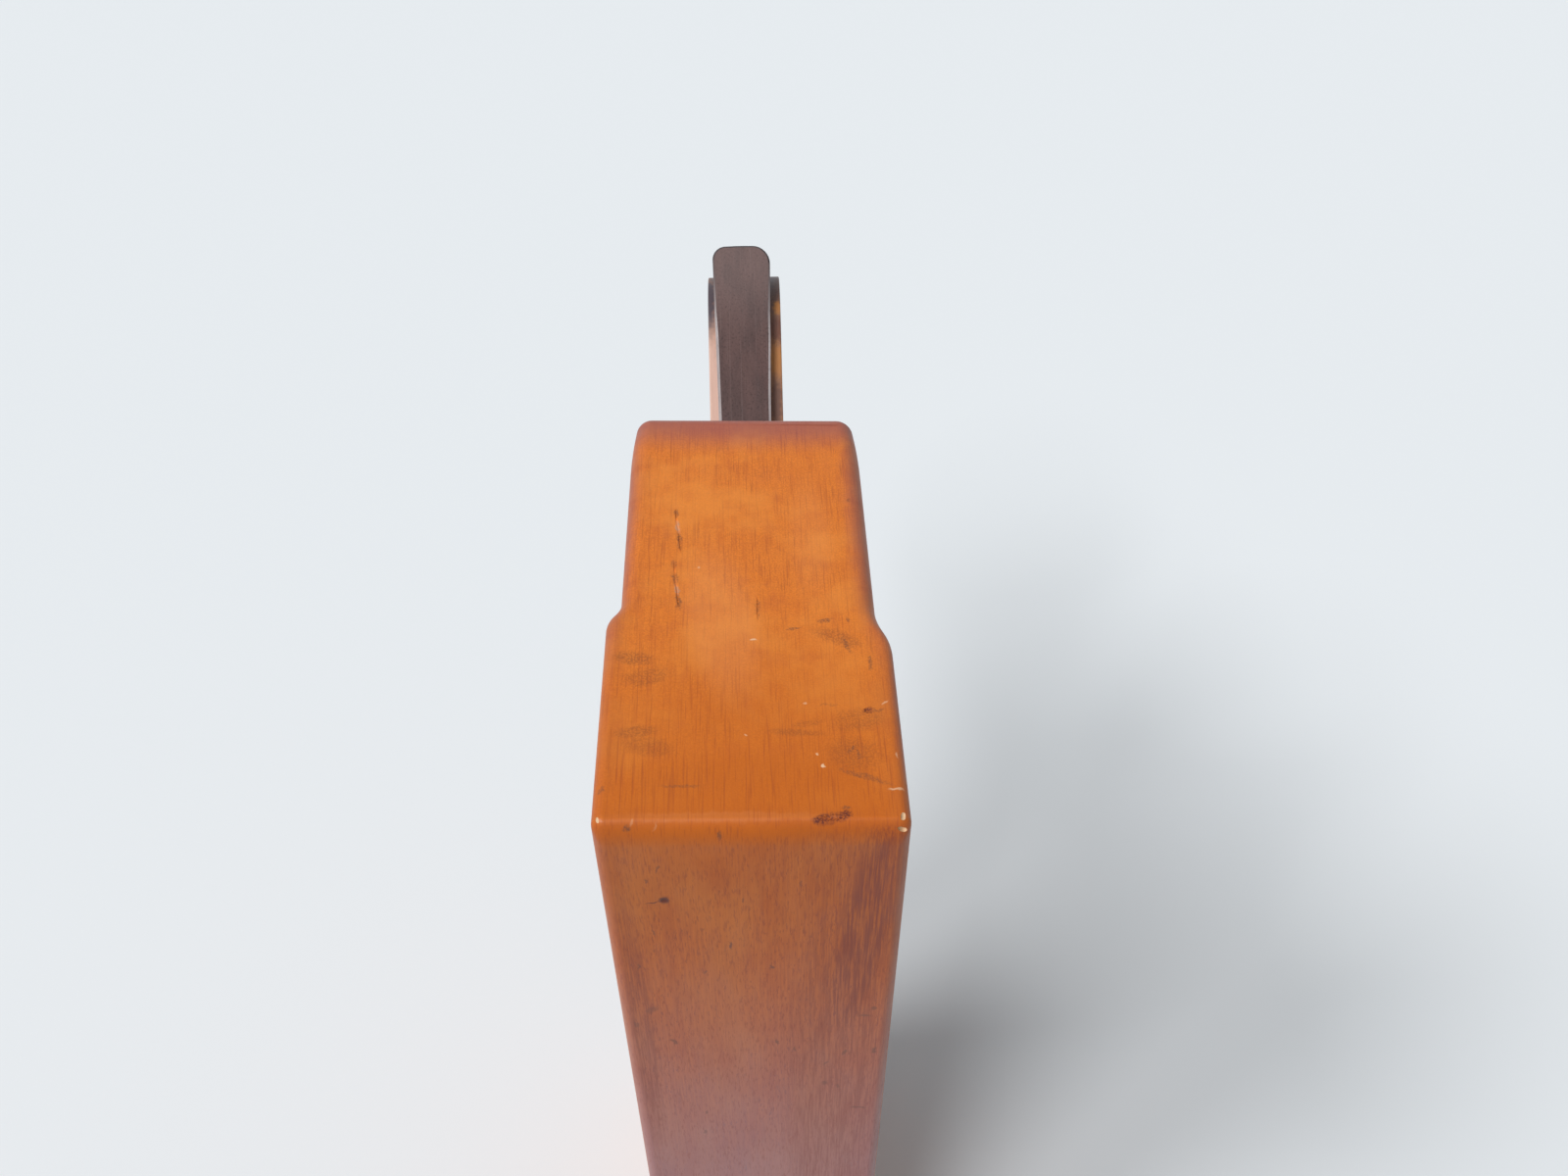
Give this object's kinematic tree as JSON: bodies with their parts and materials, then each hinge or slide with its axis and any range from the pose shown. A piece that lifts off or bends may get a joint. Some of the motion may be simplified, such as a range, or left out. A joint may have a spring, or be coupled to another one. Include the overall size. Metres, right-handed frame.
{
  "type": "moulding plane",
  "caption": "Wooden moulding plane with a flat sole, a shouldered grip, a wedged cutting iron with a narrow tang and a round escapement open through both sides.",
  "frame": {"origin": "centre of the stock's toe end face, on which the plane stands in the picture", "axes": "+Z along the stock from the toe up to the heel, +X across the stock to the right as seen from the heel in use, +Y from the sole towards the top of the grip, where the tang and the wedge stand out. In use the plane lies on its sole, the -Y face, and is pushed towards -Z."},
  "size_m": [0.0424, 0.1734, 0.241],
  "materials": {
    "stock_wood": "varnished beech, worn at the arrises",
    "iron_steel": "forged tool steel, brown patina, ground at the edge",
    "wedge_wood": "oiled beech, darkened where it is handled and struck"
  },
  "bodies": {
    "stock": {"stock": "stock_wood"},
    "iron": {"iron": "iron_steel"},
    "wedge": {"wedge": "wedge_wood"}
  },
  "joints": [
    {"name": "wedge_slide", "type": "slide", "parent": "stock", "child": "wedge", "axis": [0, 0.766, 0.6428], "range_m": [0, 0.095]},
    {"name": "iron_slide", "type": "slide", "parent": "stock", "child": "iron", "axis": [0, 0.766, 0.6428], "range_m": [-0.125, 0.004]}
  ]
}
